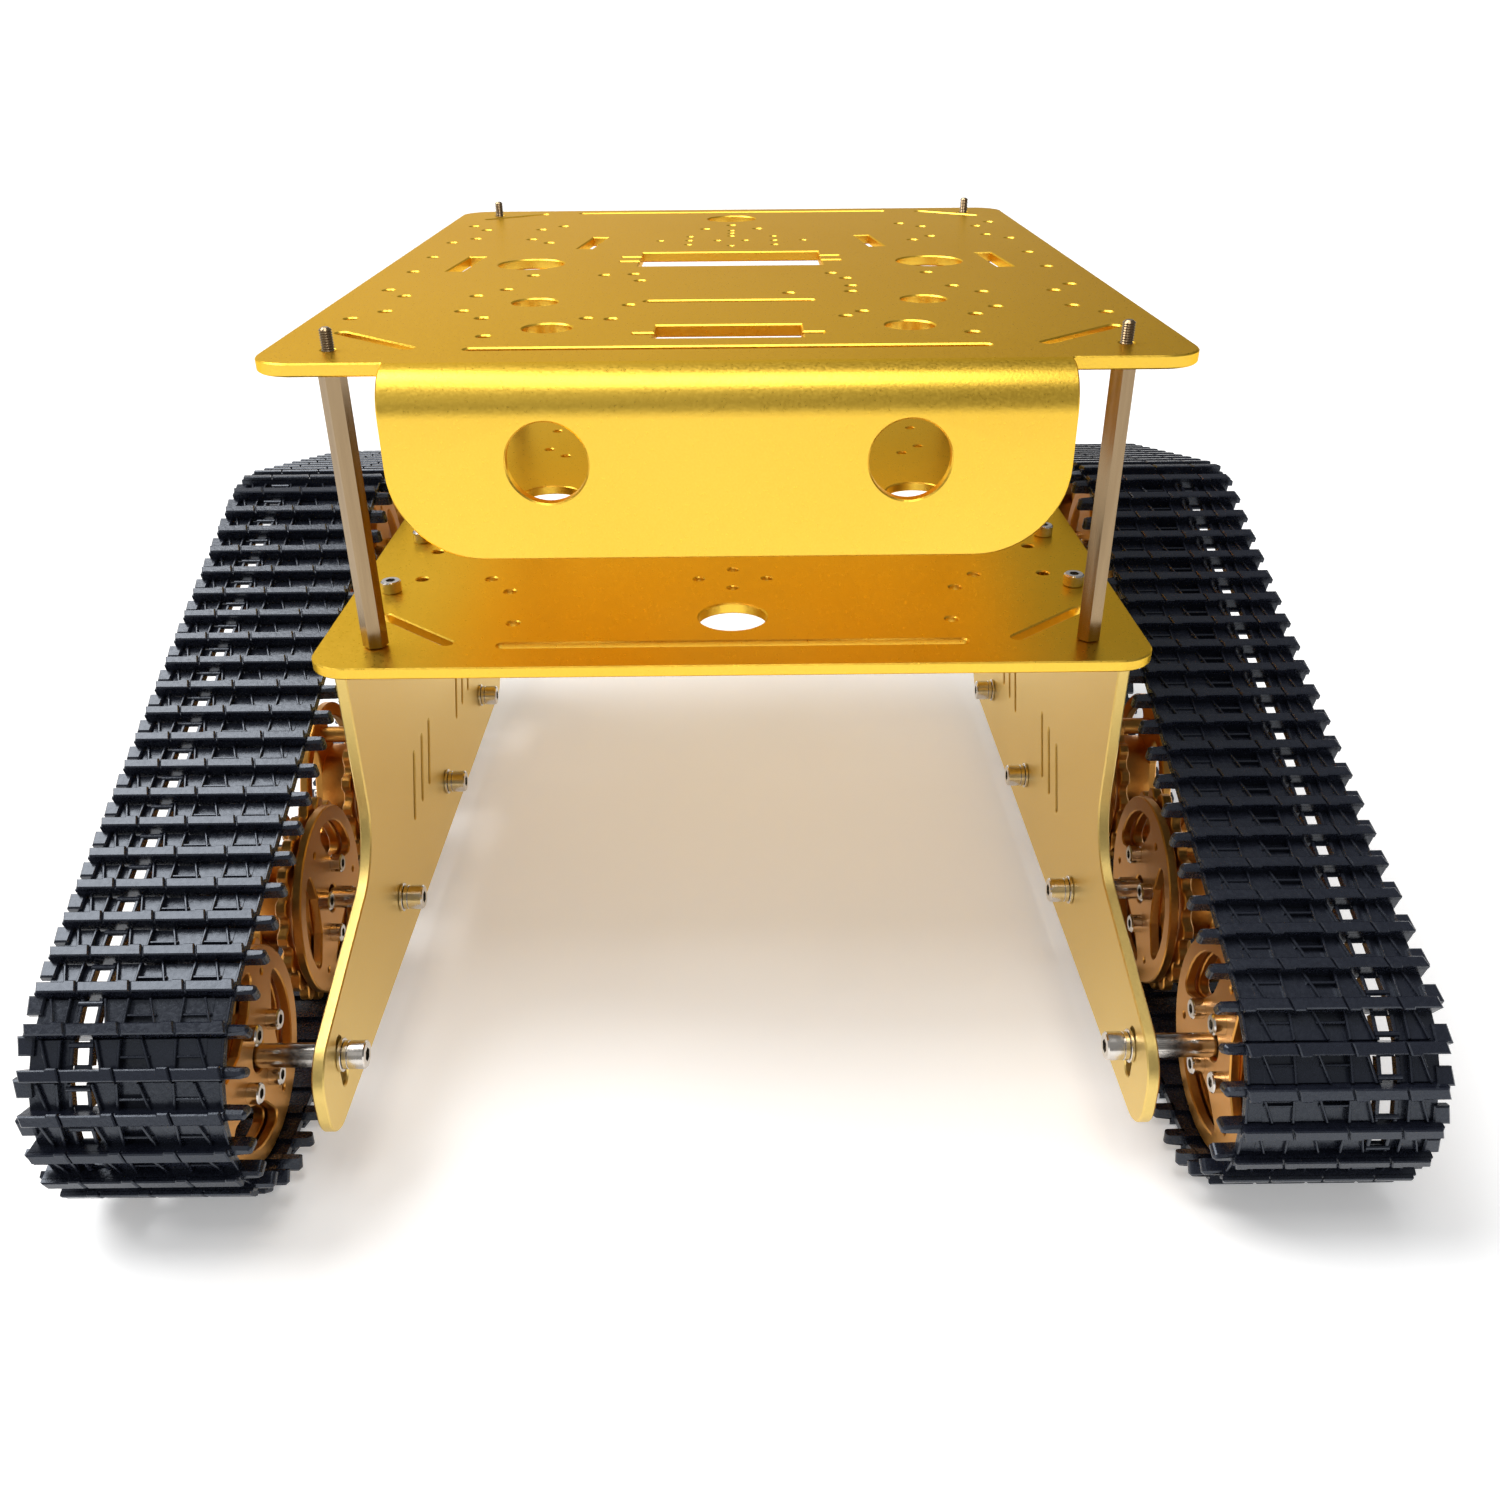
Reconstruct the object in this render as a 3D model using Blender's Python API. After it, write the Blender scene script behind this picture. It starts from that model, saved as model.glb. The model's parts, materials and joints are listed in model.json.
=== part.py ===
"""Tracked tank chassis: two stacked decks carried by two tracked running gears.

Every dimension is in millimetres in the layout frame: X to the right, Y to the rear from the
front edge of the decks, Z up from the top surface of the lower deck. build_object() moves the
result to the row frame (metres, origin at the bottom centre, front facing -Y).
"""
import math

import bmesh
import bpy
from mathutils import Vector
from mathutils.geometry import tessellate_polygon

MM = 0.001
SHIFT_Y = -95.5
SHIFT_Z = 116.5

# Clearance left between pieces that rest on each other, and around turning parts.
SEAT = 0.3
RUN = 0.35

# Decks
DECK_HALF = 105.0
DECK_LENGTH = 268.0
DECK_THICK = 3.0
DECK_CORNER = 10.0
TOP_DECK_TOP = 73.0
MID_DECK_TOP = 0.0
THIN_SLOT = 3.2
M3_HOLE = 1.7
M3_SHANK = 1.45

# Bumper: front tongue of the top deck, bent down
BUMPER_HALF = 75.0
BEND_MID = 8.5
BUMPER_DROP = 31.5
BUMPER_CORNER = 20.0
BEND_STEPS = 5
SENSOR_HOLE = 9.0
SENSOR_X = 39.5
SENSOR_BELOW_BEND = 9.6

# Deck hole pattern: fixing holes repeated on both halves
FIXING = [(94.5, 224.0), (88.0, 213.0), (88.0, 191.0), (94.5, 182.0), (94.5, 150.0), (94.5, 121.5),
          (94.5, 90.5), (88.0, 81.0), (88.0, 59.0), (94.5, 50.0), (68.3, 213.0), (61.3, 221.5),
          (68.3, 188.0), (61.3, 179.5), (57.4, 112.5), (61.6, 89.5), (68.3, 80.0), (68.3, 58.5),
          (61.6, 49.0), (57.4, 27.0)]
STANDOFF_AT = [(90.0, 13.5), (90.0, 254.5)]

# Standoffs
STANDOFF_FLATS = 5.5
STUD_ABOVE = 5.0
HEAD_R = 2.75
HEAD_H = 3.0

# Side plates
PLATE_IN = 97.0
PLATE_OUT = 100.0
PLATE_TOP = -DECK_THICK - SEAT
FLANGE_DEEP = 12.0
FLANGE_THICK = 3.0
FLANGES = [(38.0, 102.0), (170.0, 234.0)]
FLANGE_SCREW_X = 94.5
SCREW_Y = [50.0, 90.5, 182.0]
PLATE_OUTLINE = [(7.5, PLATE_TOP), (7.5, -44.0), (4.6, -49.6), (0.0, -54.2), (-8.0, -60.4),
                 (-17.0, -65.2), (-34.0, -70.2), (-46.0, -73.2), (-52.4, -76.0), (-56.6, -80.6),
                 (-58.6, -87.0), (-57.4, -93.6), (-54.4, -97.8), (-50.0, -100.0), (186.0, -100.0),
                 (191.0, -97.6), (230.0, -58.0), (236.0, -46.0), (238.0, -36.0), (238.0, PLATE_TOP)]
SLIT_TOP_Y = [55.6, 66.4, 76.6, 121.6, 132.4, 143.2]
SLIT_TOP_Z = -55.0
SLIT_DROP = 16.5
SLIT_LEAN = 8.6
SLIT_WIDE = 2.2

# Running gear: wheel centres in the side view
FRONT_IDLER = (-44.0, -83.5)
ROAD_1 = (22.0, -83.5)
ROAD_2 = (88.0, -83.5)
ROAD_3 = (152.0, -83.5)
REAR_IDLER = (216.6, -42.0)
DRIVE = (123.0, -22.0)
TEETH = 20
TOOTH_TIP = 31.2
TOOTH_ROOT = 26.6
INNER_DISC = 27.0
INNER_DISC_X = (117.0, 119.6)
TOOTH_DISC_X = (120.4, 123.2)
HUB_R = 13.0
OUTER_DISC_X = (134.2, 136.8)
BORE = 3.0 + RUN
WINDOW_IN = 14.0
WINDOW_OUT = 23.0
WHEEL_SCREW_AT = 10.0

# Axles
AXLE_R = 3.0
AXLE_END = 139.2
AXLE_HEAD_R = 3.5
AXLE_HEAD_H = 6.6
AXLE_SHANK = 1.95
AXLE_HOLE = 2.25
COLLAR_R = 4.6
COLLAR_T = 1.8
TENSION_UP = 3.0
TENSION_DOWN = 7.0

# Tracks
BELT_X = (110.0, 160.0)
BELT_IN = 27.6
BELT_OUT = 33.0
GROOVE_X = (119.4, 124.2)
GROOVE_R = 32.0
WRAP_STEP = math.radians(15.0)

# Drive motors
GEARBOX_R = 18.0
GEARBOX_LONG = 26.0
CAN_R = 16.5
CAN_LONG = 31.0
SHAFT_OFFSET = 7.0
BOSS_R = 6.0


def circle(cx, cy, radius, count, phase=0.0):
    """Points of a regular polygon standing for a circle."""
    points = []
    for step in range(count):
        angle = phase + 2.0 * math.pi * step / count
        points.append((cx + radius * math.cos(angle), cy + radius * math.sin(angle)))
    return points


def fillet(corners, radius, steps):
    """Round every corner of a convex outline with the same radius."""
    points = []
    total = len(corners)
    for index in range(total):
        here = Vector(corners[index])
        before = (Vector(corners[index - 1]) - here).normalized()
        after = (Vector(corners[(index + 1) % total]) - here).normalized()
        half = before.angle(after) / 2.0
        reach = radius / math.tan(half)
        centre = here + (before + after).normalized() * (radius / math.sin(half))
        start = here + before * reach - centre
        end = here + after * reach - centre
        a0 = math.atan2(start.y, start.x)
        turn = math.atan2(end.y, end.x) - a0
        turn = (turn + math.pi) % (2.0 * math.pi) - math.pi
        for step in range(steps + 1):
            angle = a0 + turn * step / steps
            points.append((centre.x + radius * math.cos(angle), centre.y + radius * math.sin(angle)))
    return points


def slot(x0, y0, x1, y1, width):
    """Square-ended slot between two centre points."""
    along = Vector((x1 - x0, y1 - y0)).normalized()
    side = Vector((-along.y, along.x)) * (width / 2.0)
    a = Vector((x0, y0))
    b = Vector((x1, y1))
    return [tuple(a + side), tuple(a - side), tuple(b - side), tuple(b + side)]


def mirrored(loop):
    """The same outline on the other half of the deck."""
    return [(-x, y) for x, y in reversed(loop)]


def build(name, walls, caps, place):
    """Closed body from straight walls and flat caps; place(a, b, t) gives the layout position."""
    mesh = bmesh.new()
    table = {}

    def vertex(point, t):
        key = (round(point[0], 4), round(point[1], 4), round(t, 4))
        if key not in table:
            table[key] = mesh.verts.new(place(point[0], point[1], t))
        return table[key]

    for loop, low, high in walls:
        for index in range(len(loop)):
            a = loop[index]
            b = loop[(index + 1) % len(loop)]
            mesh.faces.new((vertex(a, low), vertex(b, low), vertex(b, high), vertex(a, high)))
    for loops, t in caps:
        flat = [point for loop in loops for point in loop]
        rings = [[Vector((x, y, 0.0)) for x, y in loop] for loop in loops]
        for triangle in tessellate_polygon(rings):
            mesh.faces.new([vertex(flat[index], t) for index in triangle])
    return name, mesh


def flat_xy(a, b, t):
    return (a, b, t)


def flat_yz(side):
    """Side view: outline in Y and Z, thickness along X, on one side of the vehicle."""
    return lambda a, b, t: (side * t, a, b)


def commit(name, mesh):
    """Move a body to the row frame and add it to the scene."""
    bmesh.ops.triangulate(mesh, faces=mesh.faces[:])
    bmesh.ops.recalc_face_normals(mesh, faces=mesh.faces[:])
    for vert in mesh.verts:
        vert.co = Vector((vert.co.x, vert.co.y + SHIFT_Y, vert.co.z + SHIFT_Z)) * MM
    data = bpy.data.meshes.new(name)
    mesh.to_mesh(data)
    mesh.free()
    item = bpy.data.objects.new(name, data)
    bpy.context.scene.collection.objects.link(item)
    return item


def spool(name, steps, count, place, cx, cy):
    """Round stepped bar; steps are (start, end, radius) along the thickness axis."""
    walls = []
    caps = []
    rings = [circle(cx, cy, radius, count, math.pi / count) for _, _, radius in steps]
    for (low, high, _), ring in zip(steps, rings):
        walls.append((ring, low, high))
    caps.append(([rings[0]], steps[0][0]))
    caps.append(([rings[-1]], steps[-1][1]))
    for index in range(len(steps) - 1):
        pair = [rings[index], rings[index + 1]]
        pair.sort(key=lambda ring: -math.hypot(ring[0][0] - cx, ring[0][1] - cy))
        caps.append((pair, steps[index][1]))
    return build(name, walls, caps, place)


def deck_outline():
    corners = [(-DECK_HALF, 0.0), (DECK_HALF, 0.0), (DECK_HALF, DECK_LENGTH), (-DECK_HALF, DECK_LENGTH)]
    return fillet(corners, DECK_CORNER, 5)


def common_deck_holes():
    """Openings shared by both decks."""
    loops = []
    for x, y in STANDOFF_AT:
        hole = circle(x, y, M3_HOLE, 8)
        loops.append(hole)
        loops.append(mirrored(hole))
    for y in (13.0, 259.0):
        loops.append(slot(-58.0, y, 58.0, y, THIN_SLOT))
    for end in ((92.0, 32.5, 72.5, 15.0), (92.0, 243.5, 73.0, 257.5)):
        hole = slot(end[0], end[1], end[2], end[3], THIN_SLOT)
        loops.append(hole)
        loops.append(mirrored(hole))
    loops.append(circle(0.0, 239.0, 9.0, 16))
    return loops


def pronged(half, y0, y1, prongs, reach, width):
    """Rectangular cut-out with narrow slots running out of both short sides."""
    right = []
    for y in prongs:
        right.append((half, y - width / 2.0))
        right.append((half + reach, y - width / 2.0))
        right.append((half + reach, y + width / 2.0))
        right.append((half, y + width / 2.0))
    left = [(-x, y) for x, y in reversed(right)]
    return [(-half, y0), (half, y0)] + right + [(half, y1), (-half, y1)] + left


def top_deck():
    outline = deck_outline()
    tongue_end = BEND_MID * math.pi / 2.0 + BUMPER_DROP
    low = [(-BUMPER_HALF, 0.0), (-BUMPER_HALF, -tongue_end), (BUMPER_HALF, -tongue_end), (BUMPER_HALF, 0.0)]
    rounded = fillet([low[0], low[1], low[2], low[3]], BUMPER_CORNER, 5)
    tongue = [p for p in rounded if p[1] < -BUMPER_CORNER]
    tongue.sort(key=lambda p: p[0])
    bottom_left = [p for p in outline if p[1] < DECK_CORNER + 0.01 and p[0] < 0.0]
    rest = [p for p in outline if p not in bottom_left]
    bottom_left.sort(key=lambda p: p[0])
    front = bottom_left + [(-BUMPER_HALF, 0.0)] + tongue + [(BUMPER_HALF, 0.0)]
    full = front + rest
    holes = common_deck_holes()
    for x, y in FIXING:
        hole = circle(x, y, M3_HOLE, 8)
        holes.append(hole)
        holes.append(mirrored(hole))
    for x, y, radius in ((61.0, 134.0, 10.0), (51.2, 70.0, 6.0), (43.7, 36.0, 6.0)):
        hole = circle(x, y, radius, 16)
        holes.append(hole)
        holes.append(mirrored(hole))
    for end in ((45.0, 192.0, 48.0, 165.0), (80.2, 150.0, 82.4, 121.5)):
        hole = slot(end[0], end[1], end[2], end[3], 5.0)
        holes.append(hole)
        holes.append(mirrored(hole))
    holes.append(slot(-21.0, 70.0, 21.0, 70.0, THIN_SLOT))
    holes.append(pronged(28.0, 128.0, 156.0, (137.5, 146.5), 6.0, 2.6))
    holes.append(pronged(17.5, 23.0, 38.5, (28.5,), 5.0, 2.6))
    sensor_s = BEND_MID * math.pi / 2.0 + SENSOR_BELOW_BEND
    for side in (-1.0, 1.0):
        holes.append(circle(side * SENSOR_X, -sensor_s, SENSOR_HOLE, 20))
    top = TOP_DECK_TOP
    bottom = TOP_DECK_TOP - DECK_THICK
    loops = [full] + holes
    walls = [(loop, bottom, top) for loop in loops]
    name, mesh = build("top_deck", walls, [(loops, bottom), (loops, top)], flat_xy)
    bend = BEND_MID * math.pi / 2.0
    for step in range(BEND_STEPS + 1):
        cut = -bend * step / BEND_STEPS
        every = mesh.verts[:] + mesh.edges[:] + mesh.faces[:]
        bmesh.ops.bisect_plane(mesh, geom=every, dist=1e-5, plane_co=(0.0, cut, 0.0), plane_no=(0.0, 1.0, 0.0))
    centre_z = top - DECK_THICK / 2.0 - BEND_MID
    for vert in mesh.verts:
        along = -vert.co.y
        if along > 0.0:
            radius = vert.co.z - centre_z
            angle = min(along, bend) / BEND_MID
            drop = max(along - bend, 0.0)
            vert.co.y = -radius * math.sin(angle)
            vert.co.z = centre_z + radius * math.cos(angle) - drop
    return commit(name, mesh)


def mid_deck():
    loops = [deck_outline()] + common_deck_holes()
    loops.append(circle(0.0, 30.0, 9.0, 16))
    wiring = circle(61.0, 134.0, 10.0, 16)
    loops.append(wiring)
    loops.append(mirrored(wiring))
    for y in SCREW_Y:
        hole = circle(FLANGE_SCREW_X, y, M3_HOLE, 8)
        loops.append(hole)
        loops.append(mirrored(hole))
    bottom = MID_DECK_TOP - DECK_THICK
    walls = [(loop, bottom, MID_DECK_TOP) for loop in loops]
    return commit(*build("mid_deck", walls, [(loops, bottom), (loops, MID_DECK_TOP)], flat_xy))


def standoff(name, x, y):
    """Hexagonal spacer with a threaded stud on top and its lower fixing screw."""
    hexagon = circle(x, y, STANDOFF_FLATS / math.sqrt(3.0), 6)
    stud = circle(x, y, M3_SHANK, 8)
    head = circle(x, y, HEAD_R, 8)
    under = MID_DECK_TOP - DECK_THICK - SEAT
    low = MID_DECK_TOP + SEAT
    high = TOP_DECK_TOP - DECK_THICK - SEAT
    walls = [(head, under - HEAD_H, under), (stud, under, low), (hexagon, low, high)]
    walls.append((stud, high, TOP_DECK_TOP + STUD_ABOVE))
    caps = [([head], under - HEAD_H), ([head, stud], under), ([hexagon, stud], low)]
    caps += [([hexagon, stud], high), ([stud], TOP_DECK_TOP + STUD_ABOVE)]
    return commit(*build(name, walls, caps, flat_xy))


def deck_screw(name, x, y):
    """Cap screw from the lower deck into the side plate flange."""
    steps = [(PLATE_TOP - FLANGE_THICK - 2.0, MID_DECK_TOP + SEAT, M3_SHANK)]
    steps.append((MID_DECK_TOP + SEAT, MID_DECK_TOP + SEAT + HEAD_H, HEAD_R))
    return commit(*spool(name, steps, 8, flat_xy, x, y))


def tension_slot():
    """Adjusting slot of the front idler."""
    y, z = FRONT_IDLER
    points = []
    for centre, start in ((z + TENSION_UP, 0.0), (z - TENSION_DOWN, math.pi)):
        for step in range(5):
            angle = start + math.pi * step / 4.0
            points.append((y + AXLE_HOLE * math.cos(angle), centre + AXLE_HOLE * math.sin(angle)))
    return points


def side_plate(name, side):
    holes = [tension_slot()]
    for y, z in (ROAD_1, ROAD_2, ROAD_3, REAR_IDLER):
        holes.append(circle(y, z, AXLE_HOLE, 8))
    holes.append(circle(DRIVE[0], DRIVE[1], BOSS_R + SEAT, 12))
    for y in SLIT_TOP_Y:
        holes.append(slot(y, SLIT_TOP_Z, y - SLIT_LEAN, SLIT_TOP_Z - SLIT_DROP, SLIT_WIDE))
    loops = [PLATE_OUTLINE] + holes
    flange_top = PLATE_TOP - SEAT
    flange_bottom = flange_top - FLANGE_THICK
    flange_in = PLATE_IN - FLANGE_DEEP
    flanges = [[(a, flange_bottom), (b, flange_bottom), (b, flange_top), (a, flange_top)] for a, b in FLANGES]
    walls = [(loop, PLATE_IN, PLATE_OUT) for loop in loops]
    walls += [(loop, flange_in, PLATE_IN) for loop in flanges]
    caps = [(loops, PLATE_OUT), (loops + flanges, PLATE_IN)]
    caps += [([loop], flange_in) for loop in flanges]
    plate = commit(*build(name, walls, caps, flat_yz(side)))
    cut_walls = []
    cut_caps = []
    for y in SCREW_Y:
        ring = circle(side * FLANGE_SCREW_X, y, M3_HOLE, 8)
        cut_walls.append((ring, flange_bottom - 1.0, flange_top + 1.0))
        cut_caps.append(([ring], flange_bottom - 1.0))
        cut_caps.append(([ring], flange_top + 1.0))
    cutter = commit(*build(name + "_cutter", cut_walls, cut_caps, flat_xy))
    cutter.hide_render = True
    cutter.display_type = "WIRE"
    cut = plate.modifiers.new("screw_holes", "BOOLEAN")
    cut.operation = "DIFFERENCE"
    cut.solver = "EXACT"
    cut.object = cutter
    return plate


def window(cy, cz, middle):
    """One rounded triangular lightening window of a wheel disc."""
    points = []
    for radius, half in ((WINDOW_OUT, 0.72), (WINDOW_IN, 0.40)):
        for step in (-1.0, 0.0, 1.0):
            angle = middle + half * step * (1.0 if radius == WINDOW_OUT else -1.0)
            points.append((cy + radius * math.cos(angle), cz + radius * math.sin(angle)))
    return points


def inner_disc(name, side, centre):
    """Plain disc on the plate side of a wheel, with its windows and screw heads."""
    cy, cz = centre
    outline = circle(cy, cz, INNER_DISC, 24)
    bore = circle(cy, cz, BORE, 8)
    windows = [window(cy, cz, math.pi / 2.0 + k * 2.0 * math.pi / 3.0) for k in range(3)]
    heads = []
    for k in range(4):
        angle = math.pi / 4.0 + k * math.pi / 2.0
        heads.append(circle(cy + WHEEL_SCREW_AT * math.cos(angle), cz + WHEEL_SCREW_AT * math.sin(angle), 2.6, 6))
    near, far = INNER_DISC_X
    loops = [outline, bore] + windows
    walls = [(loop, near, far) for loop in loops]
    walls += [(loop, near - HEAD_H, near) for loop in heads]
    caps = [(loops, far), (loops + heads, near)]
    caps += [([loop], near - HEAD_H) for loop in heads]
    return commit(*build(name, walls, caps, flat_yz(side)))


def toothed_disc(name, side, centre, phase):
    """Toothed disc that engages the track, in one piece with the hub and the plain outer disc."""
    cy, cz = centre
    pitch = 2.0 * math.pi / TEETH
    outline = []
    for k in range(TEETH):
        middle = phase + k * pitch
        for radius, part in ((TOOTH_ROOT, -0.3), (TOOTH_TIP, -0.13), (TOOTH_TIP, 0.13), (TOOTH_ROOT, 0.3)):
            angle = middle + part * pitch
            outline.append((cy + radius * math.cos(angle), cz + radius * math.sin(angle)))
    bore = circle(cy, cz, BORE, 8)
    hub = circle(cy, cz, HUB_R, 12)
    rim = circle(cy, cz, INNER_DISC, 24)
    near, far = TOOTH_DISC_X
    outer, end = OUTER_DISC_X
    start = INNER_DISC_X[1] + SEAT
    walls = [(outline, near, far), (hub, start, near), (hub, far, outer), (rim, outer, end), (bore, start, end)]
    caps = [([hub, bore], start), ([outline, hub], near), ([outline, hub], far)]
    caps += [([rim, hub], outer), ([rim, bore], end)]
    return commit(*build(name, walls, caps, flat_yz(side)))


def axle(name, side, centre):
    """Stub axle with its fixing bolt through the side plate and its outer collar."""
    steps = [(PLATE_IN - SEAT - AXLE_HEAD_H, PLATE_IN - SEAT, AXLE_HEAD_R)]
    steps.append((PLATE_IN - SEAT, PLATE_OUT + SEAT, AXLE_SHANK))
    steps.append((PLATE_OUT + SEAT, AXLE_END - COLLAR_T, AXLE_R))
    steps.append((AXLE_END - COLLAR_T, AXLE_END, COLLAR_R))
    return commit(*spool(name, steps, 8, flat_yz(side), centre[0], centre[1]))


def motor(prefix, side):
    """Gearmotor with an offset output shaft, on the inner face of the side plate."""
    y, z = DRIVE
    gz = z - SHAFT_OFFSET
    face = PLATE_IN - SEAT
    back = face - GEARBOX_LONG
    body = circle(y, gz, GEARBOX_R, 20)
    boss = circle(y, z, BOSS_R, 12)
    walls = [(body, back, face), (boss, face, PLATE_OUT)]
    caps = [([body], back), ([body, boss], face), ([boss], PLATE_OUT)]
    commit(*build(prefix + "_gearbox", walls, caps, flat_yz(side)))
    can_face = back - SEAT
    can_back = can_face - CAN_LONG
    steps = [(can_back - 3.0, can_back, 5.0), (can_back, can_face, CAN_R)]
    commit(*spool(prefix + "_motor", steps, 16, flat_yz(side), y, gz))
    steps = [(PLATE_OUT + SEAT, AXLE_END - COLLAR_T, AXLE_R), (AXLE_END - COLLAR_T, AXLE_END, COLLAR_R)]
    commit(*spool(prefix + "_drive_shaft", steps, 8, flat_yz(side), y, z))


def belt_path(radius):
    """Closed path of a point at one radius from the wheel centres, with shared stations."""
    order = [FRONT_IDLER, ROAD_3, REAR_IDLER, DRIVE]
    total = len(order)
    headings = []
    for index in range(total):
        a = order[index]
        b = order[(index + 1) % total]
        headings.append(math.atan2(b[1] - a[1], b[0] - a[0]))
    points = []
    for index in range(total):
        centre = order[index]
        before = headings[index - 1]
        turn = (headings[index] - before) % (2.0 * math.pi)
        count = max(2, math.ceil(turn / WRAP_STEP))
        for step in range(count + 1):
            angle = before + turn * step / count - math.pi / 2.0
            points.append((centre[0] + radius * math.cos(angle), centre[1] + radius * math.sin(angle)))
    return points


def track(name, side):
    """Closed track band with the channel its wheel teeth run in."""
    profile = [(BELT_X[0], BELT_IN), (GROOVE_X[0], BELT_IN), (GROOVE_X[0], GROOVE_R)]
    profile += [(GROOVE_X[1], GROOVE_R), (GROOVE_X[1], BELT_IN), (BELT_X[1], BELT_IN)]
    profile += [(BELT_X[1], BELT_OUT), (BELT_X[0], BELT_OUT)]
    mesh = bmesh.new()
    rows = []
    for x, radius in profile:
        rows.append([mesh.verts.new((side * x, y, z)) for y, z in belt_path(radius)])
    stations = len(rows[0])
    for a in range(len(rows)):
        first = rows[a]
        second = rows[(a + 1) % len(rows)]
        for k in range(stations):
            n = (k + 1) % stations
            mesh.faces.new((first[k], first[n], second[n], second[k]))
    return commit(name, mesh)


def build_object():
    for item in list(bpy.data.objects):
        bpy.data.objects.remove(item, do_unlink=True)
    top_deck()
    mid_deck()
    labels = {-1.0: "left", 1.0: "right"}
    wheels = [("front_idler", FRONT_IDLER), ("road_wheel_1", ROAD_1), ("road_wheel_2", ROAD_2),
              ("road_wheel_3", ROAD_3), ("rear_idler", REAR_IDLER), ("drive_wheel", DRIVE)]
    for side, label in labels.items():
        for place, (x, y) in zip(("front", "rear"), STANDOFF_AT):
            standoff(f"{label}_{place}_standoff", side * x, y)
        for index, y in enumerate(SCREW_Y):
            deck_screw(f"{label}_deck_screw_{index + 1}", side * FLANGE_SCREW_X, y)
        side_plate(f"{label}_side_plate", side)
        track(f"{label}_track", side)
        motor(label, side)
        for wheel, centre in wheels:
            inner_disc(f"{label}_{wheel}_inner_disc", side, centre)
            toothed_disc(f"{label}_{wheel}_toothed_disc", side, centre, math.pi / 2.0)
            if wheel != "drive_wheel":
                axle(f"{label}_{wheel}_axle", side, centre)


build_object()
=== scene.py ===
"""Looks of the tracked tank chassis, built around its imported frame.

Shapes are made in millimetres of the layout frame: X to the right, Y to the rear from the front
edge of the decks, Z up from the top face of the lower deck. Both come from the frame's boxes.
"""
import json
import math

import bmesh
import bpy
from mathutils import Matrix, Vector
from mathutils.geometry import tessellate_polygon


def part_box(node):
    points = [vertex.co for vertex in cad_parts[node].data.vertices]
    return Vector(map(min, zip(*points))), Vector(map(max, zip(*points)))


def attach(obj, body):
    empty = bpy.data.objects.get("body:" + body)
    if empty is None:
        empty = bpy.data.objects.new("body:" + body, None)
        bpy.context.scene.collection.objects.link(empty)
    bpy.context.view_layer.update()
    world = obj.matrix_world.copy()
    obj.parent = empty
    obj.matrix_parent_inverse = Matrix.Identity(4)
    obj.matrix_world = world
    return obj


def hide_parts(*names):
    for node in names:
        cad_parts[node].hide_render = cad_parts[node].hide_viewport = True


MM = 0.001

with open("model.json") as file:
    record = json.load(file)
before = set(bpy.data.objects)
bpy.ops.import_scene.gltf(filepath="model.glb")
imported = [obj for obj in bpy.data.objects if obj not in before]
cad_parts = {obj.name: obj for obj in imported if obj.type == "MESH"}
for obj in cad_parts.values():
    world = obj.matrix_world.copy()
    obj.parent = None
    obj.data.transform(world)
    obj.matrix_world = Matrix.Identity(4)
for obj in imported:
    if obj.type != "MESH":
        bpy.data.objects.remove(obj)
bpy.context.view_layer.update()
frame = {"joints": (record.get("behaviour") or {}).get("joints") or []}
deck_low, deck_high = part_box("mid_deck")
ORIGIN = Vector((0.0, deck_low.y, deck_high.z))


def layout(point):
    """A place in the row frame, in millimetres of the layout frame."""
    return (Vector(point) - ORIGIN) / MM


def layout_box(node):
    low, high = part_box(node)
    return layout(low), layout(high)


top_low = layout_box("top_deck")[0]
mid_low, mid_high = layout_box("mid_deck")
belt_low = layout_box("right_track")[0]
plate_low, plate_high = layout_box("right_side_plate")
WHEELS = {joint["child"]: layout(joint["pos_m"]) for joint in frame["joints"]}

# Decks
DECK_HALF = mid_high.x
DECK_LENGTH = mid_high.y
DECK_THICK = mid_high.z - mid_low.z
DECK_CORNER = 10.0
STUD_LONG = 5.0
DECK_TOP = layout_box("left_front_standoff")[1].z - STUD_LONG
EDGE = 0.35
SLOT_WIDE = 3.2
M3_HOLE = 1.7
M3_HEAD_R = 2.75
BUMPER_HALF = 75.0
BEND_OUTER = -top_low.y
BEND_MID = BEND_OUTER - DECK_THICK / 2.0
BUMPER_BOTTOM = top_low.z
BUMPER_CORNER = 20.0
SENSOR_X = 39.5
SENSOR_Z = 53.4
SENSOR_R = 9.0
STANDOFF_FLATS = 5.5
STANDOFF_AT = [(90.0, 13.5), (90.0, 254.5)]
FIXING = [(94.5, 224.0), (88.0, 213.0), (88.0, 191.0), (94.5, 182.0), (94.5, 150.0), (94.5, 121.5),
          (94.5, 90.5), (88.0, 81.0), (88.0, 59.0), (94.5, 50.0), (68.3, 213.0), (61.3, 221.5),
          (68.3, 188.0), (61.3, 179.5), (57.4, 112.5), (61.6, 89.5), (68.3, 80.0), (68.3, 58.5),
          (61.6, 49.0), (57.4, 27.0)]
TOP_SMALL = [(-36.7, 112.4), (-28.2, 113.7), (-25.6, 102.3), (-26.1, 65.0), (-35.4, 47.6), (-29.2, 46.5),
             (29.5, 112.5), (33.2, 103.6), (33.7, 91.0), (33.0, 82.2), (33.7, 53.7), (29.1, 47.9),
             (16.1, 80.5), (0.0, 220.4), (-9.3, 210.8), (9.3, 210.8)]
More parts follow.
